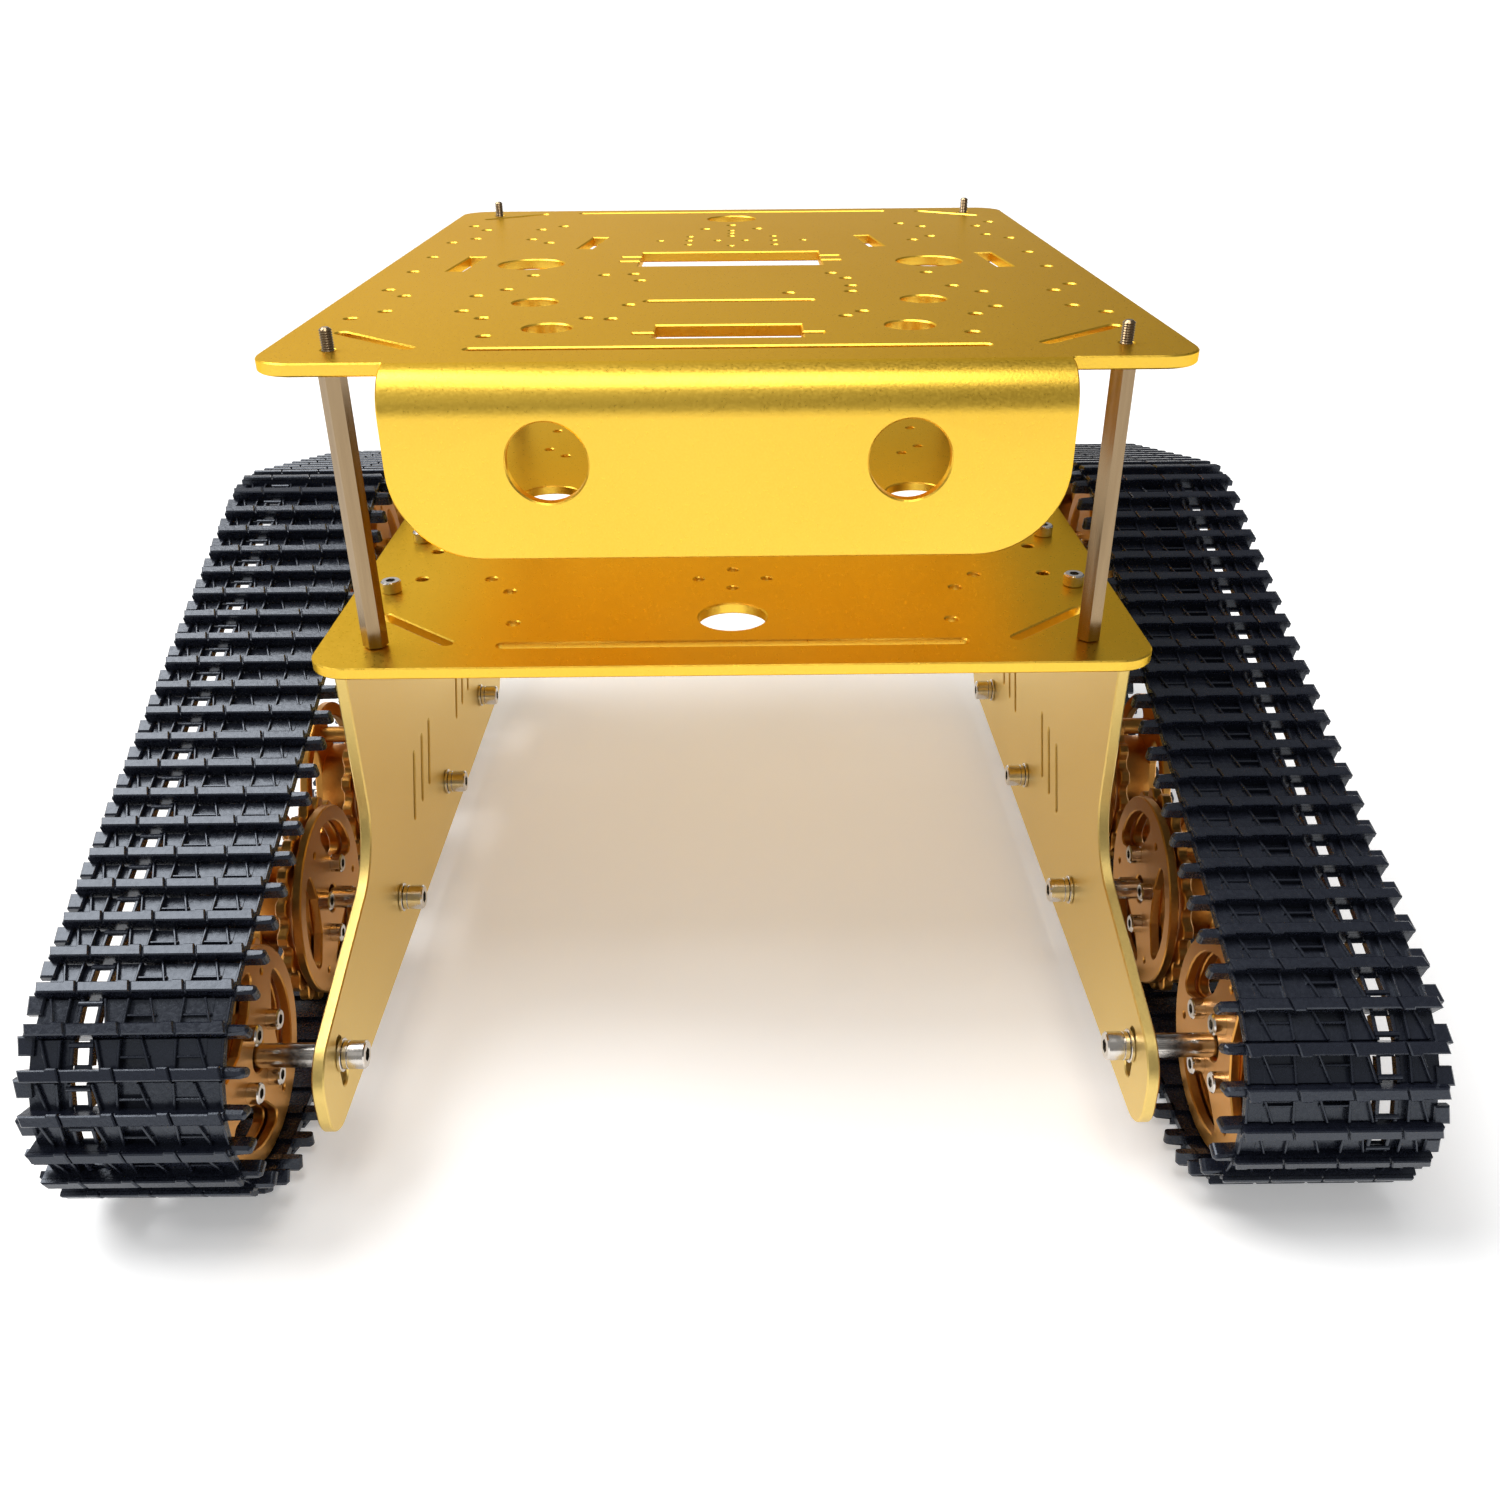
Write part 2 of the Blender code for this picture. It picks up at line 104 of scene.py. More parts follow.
TOP_TINY = [(0.0, 206.0), (0.0, 199.0), (0.0, 192.3), (0.0, 169.4), (-14.2, 191.3), (-14.2, 182.0),
            (-14.2, 172.4), (14.5, 191.3), (14.5, 181.0), (14.5, 171.4), (-24.0, 182.0),
            (24.4, 181.6), (-4.6, 181.5), (4.8, 181.5)]
MID_SMALL = [(0.0, 64.0), (0.0, 50.2), (-9.6, 57.0), (9.6, 57.0)]
DECK_SCREW_X = 94.5
DECK_SCREW_Y = [50.0, 90.5, 182.0]

# Side plates
PLATE_OUT = plate_high.x
PLATE_THICK = 3.0
PLATE_IN = PLATE_OUT - PLATE_THICK
PLATE_TOP = plate_high.z
FLANGE_IN = plate_low.x
FLANGE_Y = [(38.0, 102.0), (170.0, 234.0)]
PLATE_CORNERS = [(7.5, PLATE_TOP, 0.6), (7.5, -58.4, 21.0), (-58.4, -76.6, 12.0), (-58.4, -100.0, 9.0),
                 (188.6, -100.0, 8.0), (238.0, -50.0, 14.0), (238.0, PLATE_TOP, 0.6)]
SLIT_Y = [55.6, 66.4, 76.6, 121.6, 132.4, 143.2]
SLIT_Z = -55.0
SLIT_DROP = 16.5
SLIT_LEAN = 8.6
SLIT_WIDE = 2.2
TENSION_UP = 3.0
TENSION_DOWN = 7.0

# Wheels and axles
TEETH = 20
PITCH_R = 30.0
DISC_R = 27.0
DISC_X = (117.0, 119.6)
TOOTH_X = (120.4, 123.2)
TOOTH_TIP = 29.2
TOOTH_ROOT = 26.4
HUB_R = 13.0
OUTER_DISC_X = (134.2, 136.8)
SHAFT_R = 3.0
BORE_R = SHAFT_R + 0.4
AXLE_END = 139.2
WINDOW_IN = 12.9
WINDOW_OUT = 22.9
POST_RING = 20.5
SCREW_RING = 10.0

# Track links: distances across the track (x), along it (s) and from the wheel axis (n)
LINKS = 78
LINK_LOW = 27.6
FLOOR_FACE = 29.0
PAD_FACE = 30.3
BAR_TOP = WHEELS["right_front_idler"].z - belt_low.z
BAR_HALF = 1.35
BAR_CUTS = [113.4, 124.7, 137.0, 149.1, 158.4]
BAR_GAP = 0.2
BAR_NOTCH = 0.35
BAR_PHASE = {"left": math.radians(181.0), "right": math.radians(176.0)}
RIB_TOP = 30.6
RIB_WIDE = 0.6
HINGE_PART = 0.69
BAR_WAY = {"left": -1.0, "right": 1.0}
RAISED = [(113.8, 118.0, 120.3), (124.4, 130.4, 132.7), (137.0, 141.3, 142.9), (150.2, 153.2, 155.2)]
SUNK = [(118.0, 124.4, 29.5), (130.4, 137.0, 28.5)]
WINDOW_X = (143.9, 147.3)
TAB_OUT = 160.4
TAB_IN = 108.8

# Slow colour cloud of every surface
CLOUD = 9.0


def circle(cx, cy, radius, count=40, phase=0.0):
    points = []
    for step in range(count):
        angle = phase + 2.0 * math.pi * step / count
        points.append((cx + radius * math.cos(angle), cy + radius * math.sin(angle)))
    return points


def rounded(corners, steps=10):
    """Outline through corners of (a, b, radius), each one rounded."""
    points = []
    total = len(corners)
    for index, (a, b, radius) in enumerate(corners):
        here = Vector((a, b))
        before = (Vector(corners[index - 1][:2]) - here).normalized()
        after = (Vector(corners[(index + 1) % total][:2]) - here).normalized()
        half = before.angle(after) / 2.0
        reach = radius / math.tan(half)
        centre = here + (before + after).normalized() * (radius / math.sin(half))
        start = here + before * reach - centre
        end = here + after * reach - centre
        first = math.atan2(start.y, start.x)
        turn = (math.atan2(end.y, end.x) - first + math.pi) % (2.0 * math.pi) - math.pi
        for step in range(steps + 1):
            angle = first + turn * step / steps
            points.append((centre.x + radius * math.cos(angle), centre.y + radius * math.sin(angle)))
    return points


def slot(x0, y0, x1, y1, width, round_end=True):
    """Slot between two centre points, with round or square ends."""
    along = Vector((x1 - x0, y1 - y0)).normalized()
    heading = math.atan2(along.y, along.x)
    half = width / 2.0
    points = []
    for (x, y), start in (((x1, y1), heading - math.pi / 2.0), ((x0, y0), heading + math.pi / 2.0)):
        if round_end:
            for step in range(9):
                angle = start + math.pi * step / 8.0
                points.append((x + half * math.cos(angle), y + half * math.sin(angle)))
        else:
            for angle in (start, start + math.pi):
                points.append((x + half * math.cos(angle), y + half * math.sin(angle)))
    return points


def both_sides(loops):
    """Deck openings together with their mirror images."""
    return loops + [[(-x, y) for x, y in reversed(loop)] for loop in loops]


def grow(loop, distance):
    """Outline moved outwards by a distance, or inwards if it is negative."""
    total = len(loop)
    area = sum(loop[i - 1][0] * loop[i][1] - loop[i][0] * loop[i - 1][1] for i in range(total))
    sign = 1.0 if area > 0.0 else -1.0
    points = []
    for index in range(total):
        here = Vector(loop[index])
        before = (here - Vector(loop[index - 1])).normalized()
        after = (Vector(loop[(index + 1) % total]) - here).normalized()
        normal = Vector((before.y + after.y, -before.x - after.x)) * sign
        points.append(tuple(here + normal * (2.0 * distance / max(normal.length_squared, 0.4))))
    return points


def side_on(side, x=0.0, y=0.0, z=0.0):
    """Local (a, b, t) to layout: a to the rear, b up, t away from the middle of the vehicle."""
    return Matrix(((0.0, 0.0, side, x), (1.0, 0.0, 0.0, y), (0.0, 1.0, 0.0, z), (0.0, 0.0, 0.0, 1.0)))


class Shape:
    """A mesh in the making, welded as it grows. Each closed shell starts with shell()."""

    def __init__(self, at=None):
        self.mesh = bmesh.new()
        self.table = {}
        self.at = at or Matrix.Identity(4)

    def shell(self, at=None):
        self.table = {}
        if at is not None:
            self.at = at
        return self

    def vertex(self, point):
        place = self.at @ Vector(point)
        key = (round(place.x, 4), round(place.y, 4), round(place.z, 4))
        if key not in self.table:
            self.table[key] = self.mesh.verts.new(place)
        return self.table[key]

    def face(self, points):
        corners = []
        for point in points:
            vert = self.vertex(point)
            if vert not in corners:
                corners.append(vert)
        if len(corners) > 2 and self.mesh.faces.get(corners) is None:
            self.mesh.faces.new(corners)

    def skin(self, rings):
        for low, high in zip(rings, rings[1:]):
            for index in range(len(low)):
                after = (index + 1) % len(low)
                self.face((low[index], low[after], high[after], high[index]))

    def cap(self, loops, t):
        flat = [point for loop in loops for point in loop]
        rings = [[Vector((a, b, 0.0)) for a, b in loop] for loop in loops]
        for triangle in tessellate_polygon(rings):
            self.face([(flat[index][0], flat[index][1], t) for index in triangle])

    def plate(self, loops, low, high, edge=EDGE):
        """Flat plate with chamfered edges. The first loop is its outline, the others its holes."""
        worn = []
        for index, loop in enumerate(loops):
            eased = grow(loop, -edge if index == 0 else edge)
            worn.append(eased)
            heights = [(eased, low), (loop, low + edge), (loop, high - edge), (eased, high)]
            self.skin([[(a, b, t) for a, b in ring] for ring, t in heights])
        self.cap(worn, low)
        self.cap(worn, high)

    def lathe(self, profile, count=40, hollow=False):
        """Round body about the local t axis; profile is (t, radius) from one end to the other."""
        rings = [[(a, b, t) for a, b in circle(0.0, 0.0, radius, count)] for t, radius in profile]
        if hollow:
            self.skin(rings + rings[:1])
            return
        self.skin(rings)
        self.cap([circle(0.0, 0.0, profile[0][1], count)], profile[0][0])
        self.cap([circle(0.0, 0.0, profile[-1][1], count)], profile[-1][0])

    def cap_screw(self, radius, height, socket):
        """Socket head, standing on t = 0."""
        rim = radius - 0.35
        hexagon = circle(0.0, 0.0, socket, 6)
        rings = [(0.0, radius - 0.1), (0.15, radius), (height - 0.35, radius), (height, rim)]
        self.skin([[(a, b, t) for a, b in circle(0.0, 0.0, r, 28)] for t, r in rings])
        self.cap([circle(0.0, 0.0, radius - 0.1, 28)], 0.0)
        self.cap([circle(0.0, 0.0, rim, 28), hexagon], height)
        self.skin([[(a, b, t) for a, b in hexagon] for t in (height, height * 0.42)])
        self.cap([hexagon], height * 0.42)

    def piece(self, name, material, body, replaces=(), sharp=32.0):
        bmesh.ops.recalc_face_normals(self.mesh, faces=self.mesh.faces[:])
        for vert in self.mesh.verts:
            vert.co = ORIGIN + vert.co * MM
        data = bpy.data.meshes.new(name)
        self.mesh.to_mesh(data)
        self.mesh.free()
        data.polygons.foreach_set("use_smooth", [True] * len(data.polygons))
        data.set_sharp_from_angle(angle=math.radians(sharp))
        data.materials.append(material)
        made = bpy.data.objects.new(name, data)
        bpy.context.scene.collection.objects.link(made)
        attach(made, body)
        if replaces:
            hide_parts(*replaces)
        return made


def new_material(name):
    material = bpy.data.materials.new(name)
    material.use_nodes = True
    nodes = material.node_tree.nodes
    links = material.node_tree.links
    return material, nodes, links, nodes["Principled BSDF"]


def grained(name, dark, light, metallic, rough, grain, bump, stretch=(1.0, 1.0, 1.0)):
    """Surface with a fine grain, a slow colour cloud and a roughness that follows the grain."""
    material, nodes, links, shader = new_material(name)
    shader.inputs["Metallic"].default_value = metallic
    place = nodes.new("ShaderNodeTexCoord")
    scale = nodes.new("ShaderNodeMapping")
    scale.inputs["Scale"].default_value = stretch
    links.new(place.outputs["Object"], scale.inputs["Vector"])
    fine = nodes.new("ShaderNodeTexNoise")
    fine.inputs["Scale"].default_value = grain
    fine.inputs["Detail"].default_value = 3.0
    links.new(scale.outputs["Vector"], fine.inputs["Vector"])
    slow = nodes.new("ShaderNodeTexNoise")
    slow.inputs["Scale"].default_value = CLOUD
    slow.inputs["Detail"].default_value = 2.0
    links.new(place.outputs["Object"], slow.inputs["Vector"])
    both = nodes.new("ShaderNodeMath")
    both.operation = "MULTIPLY_ADD"
    both.inputs[1].default_value = 0.45
    links.new(fine.outputs["Fac"], both.inputs[0])
    half = nodes.new("ShaderNodeMath")
    half.operation = "MULTIPLY"
    half.inputs[1].default_value = 0.55
    links.new(slow.outputs["Fac"], half.inputs[0])
    links.new(half.outputs["Value"], both.inputs[2])
    ramp = nodes.new("ShaderNodeValToRGB")
    ramp.color_ramp.elements[0].position = 0.32
    ramp.color_ramp.elements[0].color = (*dark, 1.0)
    ramp.color_ramp.elements[1].position = 0.68
    ramp.color_ramp.elements[1].color = (*light, 1.0)
    links.new(both.outputs["Value"], ramp.inputs["Fac"])
    links.new(ramp.outputs["Color"], shader.inputs["Base Color"])
    spread = nodes.new("ShaderNodeMapRange")
    spread.inputs["From Min"].default_value = 0.3
    spread.inputs["From Max"].default_value = 0.7
    spread.inputs["To Min"].default_value = rough[0]
    spread.inputs["To Max"].default_value = rough[1]
    links.new(fine.outputs["Fac"], spread.inputs["Value"])
    links.new(spread.outputs["Result"], shader.inputs["Roughness"])
    relief = nodes.new("ShaderNodeBump")
    relief.inputs["Strength"].default_value = bump
    relief.inputs["Distance"].default_value = 0.0002
    links.new(fine.outputs["Fac"], relief.inputs["Height"])
    links.new(relief.outputs["Normal"], shader.inputs["Normal"])
    return material


DECK_GOLD = grained("deck_gold", (0.86, 0.53, 0.055), (0.94, 0.62, 0.085), 1.0, (0.27, 0.42), 1600.0, 0.14)
PLATE_GOLD = grained("plate_gold", (0.76, 0.55, 0.17), (0.84, 0.62, 0.21), 1.0, (0.36, 0.48), 1600.0, 0.2)
BRONZE = grained("wheel_bronze", (0.66, 0.31, 0.065), (0.76, 0.38, 0.09), 1.0, (0.30, 0.42), 1500.0, 0.2)
NICKEL = grained("standoff_nickel", (0.26, 0.18, 0.10), (0.36, 0.26, 0.15), 1.0, (0.16, 0.26), 900.0, 0.08,
                 stretch=(1.0, 1.0, 0.05))
STEEL = grained("steel", (0.58, 0.54, 0.49), (0.72, 0.68, 0.63), 1.0, (0.14, 0.24), 900.0, 0.06)
CAN = grained("motor_can", (0.42, 0.42, 0.43), (0.55, 0.55, 0.56), 1.0, (0.25, 0.36), 700.0, 0.1,
              stretch=(0.1, 1.0, 1.0))
PLASTIC = grained("track_black", (0.007, 0.008, 0.015), (0.011, 0.013, 0.022), 0.0, (0.22, 0.32), 900.0, 0.25)
DECK_SHADER = DECK_GOLD.node_tree.nodes["Principled BSDF"]
DECK_SHADER.inputs["Specular Tint"].default_value = (1.0, 0.74, 0.36, 1.0)
PLASTIC_SHADER = PLASTIC.node_tree.nodes["Principled BSDF"]
PLASTIC_SHADER.inputs["Specular Tint"].default_value = (0.80, 0.88, 1.0, 1.0)
PLASTIC_SHADER.inputs["Specular IOR Level"].default_value = 0.65


def deck_openings():
    """Openings that both decks have."""
    half = [circle(x, y, M3_HOLE, 20) for x, y in STANDOFF_AT + FIXING]
    half.append(slot(92.0, 32.5, 72.5, 15.0, SLOT_WIDE))
    half.append(slot(92.0, 243.5, 73.0, 257.5, SLOT_WIDE))
    loops = both_sides(half)
    for y in (13.0, 259.0):
        loops.append(slot(-58.0, y, 58.0, y, SLOT_WIDE))
    loops.append(circle(0.0, 239.0, 9.0))
    return loops


def pronged(half, y0, y1, prongs, reach, width):
    """Rectangular cut-out with narrow slots running out of its short sides."""
    right = []
    for y in prongs:
        right += [(half, y - width / 2.0), (half + reach, y - width / 2.0)]
        right += [(half + reach, y + width / 2.0), (half, y + width / 2.0)]
    left = [(-x, y) for x, y in reversed(right)]
    return [(-half, y0), (half, y0)] + right + [(half, y1), (-half, y1)] + left


def make_top_deck():
    bend = BEND_MID * math.pi / 2.0
    centre_z = DECK_TOP - BEND_OUTER
    tongue = bend + centre_z - BUMPER_BOTTOM
    corners = [(-DECK_HALF, 0.0, DECK_CORNER), (-BUMPER_HALF, 0.0, 0.4),
               (-BUMPER_HALF, -tongue, BUMPER_CORNER), (BUMPER_HALF, -tongue, BUMPER_CORNER),
               (BUMPER_HALF, 0.0, 0.4), (DECK_HALF, 0.0, DECK_CORNER),
               (DECK_HALF, DECK_LENGTH, DECK_CORNER), (-DECK_HALF, DECK_LENGTH, DECK_CORNER)]
    half = [circle(61.0, 134.0, 10.0, 56), circle(51.2, 70.0, 6.0), circle(43.7, 36.0, 6.0)]
    half.append(slot(45.0, 192.0, 48.0, 165.0, 5.0, False))
    half.append(slot(80.2, 150.0, 82.4, 121.5, 5.0, False))
    loops = [rounded(corners, 14)] + deck_openings() + both_sides(half)
    loops += [circle(x, y, 1.6, 16) for x, y in TOP_SMALL]
    loops += [circle(x, y, 1.1, 12) for x, y in TOP_TINY]
    loops.append(slot(-21.0, 70.0, 21.0, 70.0, SLOT_WIDE))
    loops.append(pronged(28.0, 128.0, 156.0, (137.5, 146.5), 6.0, 2.6))
    loops.append(pronged(17.5, 23.0, 38.5, (28.5,), 5.0, 2.6))
    sensor = bend + centre_z - SENSOR_Z
    loops += [circle(side * SENSOR_X, -sensor, SENSOR_R, 64) for side in (-1.0, 1.0)]
    shape = Shape()
    shape.plate(loops, DECK_TOP - DECK_THICK, DECK_TOP)
    steps = 16
    for step in range(steps + 1):
        cut = -bend * step / steps
        every = shape.mesh.verts[:] + shape.mesh.edges[:] + shape.mesh.faces[:]
        bmesh.ops.bisect_plane(shape.mesh, geom=every, dist=1e-5, plane_co=(0.0, cut, 0.0),
                               plane_no=(0.0, 1.0, 0.0))
    bmesh.ops.triangulate(shape.mesh, faces=shape.mesh.faces[:])
    for vert in shape.mesh.verts:
        along = -vert.co.y
        if along > 0.0:
            radius = vert.co.z - centre_z
            angle = min(along, bend) / BEND_MID
            vert.co.y = -radius * math.sin(angle)
            vert.co.z = centre_z + radius * math.cos(angle) - max(along - bend, 0.0)
    shape.piece("top_deck_sheet", DECK_GOLD, "chassis", ["top_deck"])


def make_mid_deck():
    corners = [(-DECK_HALF, 0.0, DECK_CORNER), (DECK_HALF, 0.0, DECK_CORNER),
               (DECK_HALF, DECK_LENGTH, DECK_CORNER), (-DECK_HALF, DECK_LENGTH, DECK_CORNER)]
    loops = [rounded(corners, 14)] + deck_openings()
    loops.append(circle(0.0, 30.0, 9.0, 56))
    loops += both_sides([circle(61.0, 134.0, 10.0, 56)])
    loops += [circle(x, y, 1.5, 16) for x, y in MID_SMALL]
    shape = Shape()
    shape.plate(loops, -DECK_THICK, 0.0)
    shape.piece("mid_deck_sheet", DECK_GOLD, "chassis", ["mid_deck"])


def make_standoffs(side, label):
    under = -DECK_THICK - 0.3
    for place, (x, y) in zip(("front", "rear"), STANDOFF_AT):
        shape = Shape(Matrix.Translation((side * x, y, 0.0)))
        corner = STANDOFF_FLATS / math.sqrt(3.0)
        low, high = 0.05, DECK_TOP - DECK_THICK - 0.05
        rings = [(low, 2.6), (low + 0.4, corner), (high - 0.4, corner), (high, 2.6)]
        shape.skin([[(a, b, t) for a, b in circle(0.0, 0.0, r, 6, math.radians(15.0))] for t, r in rings])
        shape.cap([circle(0.0, 0.0, 2.6, 6, math.radians(15.0))], low)
        shape.cap([circle(0.0, 0.0, 2.6, 6, math.radians(15.0))], high)
        shape.shell()
        profile = [(high, 1.2)]
        turns = 14
        reach = DECK_TOP + STUD_LONG - 0.4 - high
        for turn in range(turns):
            start = high + reach * turn / turns
            profile += [(start + 0.12, 1.22), (start + reach / turns * 0.5, 1.5)]
        profile += [(DECK_TOP + STUD_LONG - 0.4, 1.3), (DECK_TOP + STUD_LONG, 0.8)]
        shape.lathe(profile, 20)
        shape.shell(Matrix.Translation((side * x, y, under)) @ Matrix.Rotation(math.pi, 4, "X"))
        shape.cap_screw(M3_HEAD_R, 3.0, 1.4)
        node = f"{label}_{place}_standoff"
        shape.piece(node + "_bar", NICKEL, "chassis", [node], 25.0)


def make_deck_screws(side, label):
    for index, y in enumerate(DECK_SCREW_Y):
        shape = Shape(Matrix.Translation((side * DECK_SCREW_X, y, 0.1)))
        shape.cap_screw(M3_HEAD_R, 3.2, 1.4)
        shape.shell()
        shape.lathe([(-8.6, 1.1), (-8.2, 1.4), (-0.1, 1.4)], 20)
        node = f"{label}_deck_screw_{index + 1}"
        shape.piece(node + "_head", STEEL, "chassis", [node])


def tension_slot(centre):
    return slot(centre.y, centre.z - TENSION_DOWN, centre.y, centre.z + TENSION_UP, 4.5)


def make_side_plate(side, label):
    loops = [rounded(PLATE_CORNERS, 14)]
    for wheel in ("road_wheel_1", "road_wheel_2", "road_wheel_3", "rear_idler"):
        centre = WHEELS[f"{label}_{wheel}"]
        loops.append(circle(centre.y, centre.z, 2.2, 24))
    drive = WHEELS[f"{label}_drive_wheel"]
    loops.append(circle(drive.y, drive.z, 6.3))
    loops.append(tension_slot(WHEELS[f"{label}_front_idler"]))
    for y in SLIT_Y:
        loops.append(slot(y, SLIT_Z, y - SLIT_LEAN, SLIT_Z - SLIT_DROP, SLIT_WIDE))
    shape = Shape(side_on(side))
    shape.plate(loops, PLATE_IN, PLATE_OUT)
    for y0, y1 in FLANGE_Y:
        shape.shell(Matrix.Translation((0.0, 0.0, PLATE_TOP - 0.3)))
        corners = [(side * (PLATE_IN + 0.5), y0, 0.3), (side * (PLATE_IN + 0.5), y1, 0.3),
                   (side * FLANGE_IN, y1, 3.0), (side * FLANGE_IN, y0, 3.0)]
        holes = [circle(side * DECK_SCREW_X, y, M3_HOLE, 20) for y in DECK_SCREW_Y if y0 < y < y1]
        shape.plate([rounded(corners, 5)] + holes, -PLATE_THICK, 0.0)
    shape.piece(f"{label}_side_sheet", PLATE_GOLD, "chassis", [f"{label}_side_plate"])


def window(middle):
    """Rounded triangular window between two spokes."""
    corners = []
    outer = ((WINDOW_OUT, 0.78, 2.2), (WINDOW_OUT + 3.9, 0.0, 21.0), (WINDOW_OUT, -0.78, 2.2))
    for radius, half, ease in outer:
        corners.append((radius * math.cos(middle - half), radius * math.sin(middle - half), ease))
    for half in (0.42, -0.42):
        corners.append((WINDOW_IN * math.cos(middle + half), WINDOW_IN * math.sin(middle + half), 1.2))
    return rounded(corners, 6)


def toothed_outline(phase):
    """Teeth with round-bottomed gullets between them."""
    pitch = 2.0 * math.pi / TEETH
    flank = [(TOOTH_TIP - 0.4, -0.17), (TOOTH_TIP, -0.10), (TOOTH_TIP, 0.10), (TOOTH_TIP - 0.4, 0.17),
             (28.2, 0.24), (27.1, 0.30), (26.5, 0.39), (TOOTH_ROOT, 0.5), (26.5, 0.61), (27.1, 0.70),
             (28.2, 0.76)]
    points = []
    for tooth in range(TEETH):
        for radius, part in flank:
            angle = phase + (tooth + part) * pitch
            points.append((radius * math.cos(angle), radius * math.sin(angle)))
    return points


def make_wheel(side, label, wheel, tooth_phase, turn, screw_turn):
    body = f"{label}_{wheel}"
    centre = WHEELS[body]
    windows = [window(turn + k * 2.0 * math.pi / 3.0) for k in range(3)]
    screws = [screw_turn + math.pi / 2.0 * k for k in range(4)]
    at = side_on(side, 0.0, centre.y, centre.z)
    shape = Shape(at)
    loops = [circle(0.0, 0.0, DISC_R, 96), circle(0.0, 0.0, SHAFT_R + 1.0, 32)] + windows
    for k in range(3):
        angle = turn + (k + 0.5) * 2.0 * math.pi / 3.0
        loops.append(circle(POST_RING * math.cos(angle), POST_RING * math.sin(angle), 0.9, 14))
    shape.plate(loops, DISC_X[0], DISC_X[1])
    shape.piece(f"{body}_inner_plate", BRONZE, body, [f"{body}_inner_disc"])
    shape = Shape(at)
    loops = [toothed_outline(tooth_phase), circle(0.0, 0.0, BORE_R, 32)] + windows
    shape.plate(loops, TOOTH_X[0], TOOTH_X[1], 0.3)
    shape.shell()
    loops = [circle(0.0, 0.0, DISC_R, 96), circle(0.0, 0.0, BORE_R, 32)] + windows
    shape.plate(loops, OUTER_DISC_X[0], OUTER_DISC_X[1])
    for start, end in ((DISC_X[1], TOOTH_X[0]), (TOOTH_X[1], OUTER_DISC_X[0])):
        shape.shell()
        ring = [(start - 0.1, BORE_R), (start - 0.1, HUB_R), (end + 0.1, HUB_R), (end + 0.1, BORE_R)]
        shape.lathe(ring, 48, True)
    for k in range(3):
        angle = turn + (k + 0.5) * 2.0 * math.pi / 3.0
        y = centre.y + POST_RING * math.cos(angle)
        z = centre.z + POST_RING * math.sin(angle)
        shape.shell(side_on(side, 0.0, y, z))
        shape.lathe([(TOOTH_X[1] - 0.1, 2.6), (OUTER_DISC_X[0] + 0.1, 2.6)], 20)
    shape.piece(f"{body}_toothed_plate", BRONZE, body, [f"{body}_toothed_disc"])
    shape = Shape()
    for angle in screws:
        y = centre.y + SCREW_RING * math.cos(angle)
        z = centre.z + SCREW_RING * math.sin(angle)
        shape.shell(side_on(-side, side * (DISC_X[0] + 0.1), y, z))
        shape.cap_screw(2.6, 3.1, 1.35)
        shape.shell(side_on(side, side * OUTER_DISC_X[1], y, z))
        shape.lathe([(-1.0, 1.45), (0.6, 1.45), (1.0, 1.0)], 18)
    shape.piece(f"{body}_screws", STEEL, body)


def make_axle(side, label, wheel):
    body = f"{label}_{wheel}"
    centre = WHEELS[body]
    shape = Shape(side_on(side, 0.0, centre.y, centre.z))
    if wheel == "drive_wheel":
        node = f"{label}_drive_shaft"
        start, owner = PLATE_OUT + 0.3, body
    else:
        node = f"{body}_axle"
        start, owner = PLATE_OUT + 0.05, "chassis"
    profile = [(start, SHAFT_R - 0.3), (start + 0.3, SHAFT_R), (AXLE_END - 1.9, SHAFT_R),
               (AXLE_END - 1.8, 4.5), (AXLE_END - 0.3, 4.5), (AXLE_END, 4.2), (AXLE_END, 2.0),
               (AXLE_END - 1.2, 1.8)]
    shape.lathe(profile, 40)
    if wheel != "drive_wheel":
        shape.shell(side_on(-side, side * (PLATE_IN - 0.05), centre.y, centre.z))
        shape.lathe([(0.0, 3.9), (0.15, 4.1), (0.75, 4.1), (0.9, 3.9)], 32)
        shape.shell()
        shape.lathe([(0.95, 3.3), (1.1, 3.5), (2.1, 3.5), (2.25, 3.3)], 32)
        shape.shell(side_on(-side, side * (PLATE_IN - 2.35), centre.y, centre.z))
        shape.cap_screw(3.5, 4.2, 1.75)
        shape.shell(side_on(side, 0.0, centre.y, centre.z))
        shape.lathe([(PLATE_IN - 0.2, 1.9), (PLATE_OUT + 0.4, 1.9)], 20)
    shape.piece(node + "_bar", STEEL, owner, [node])


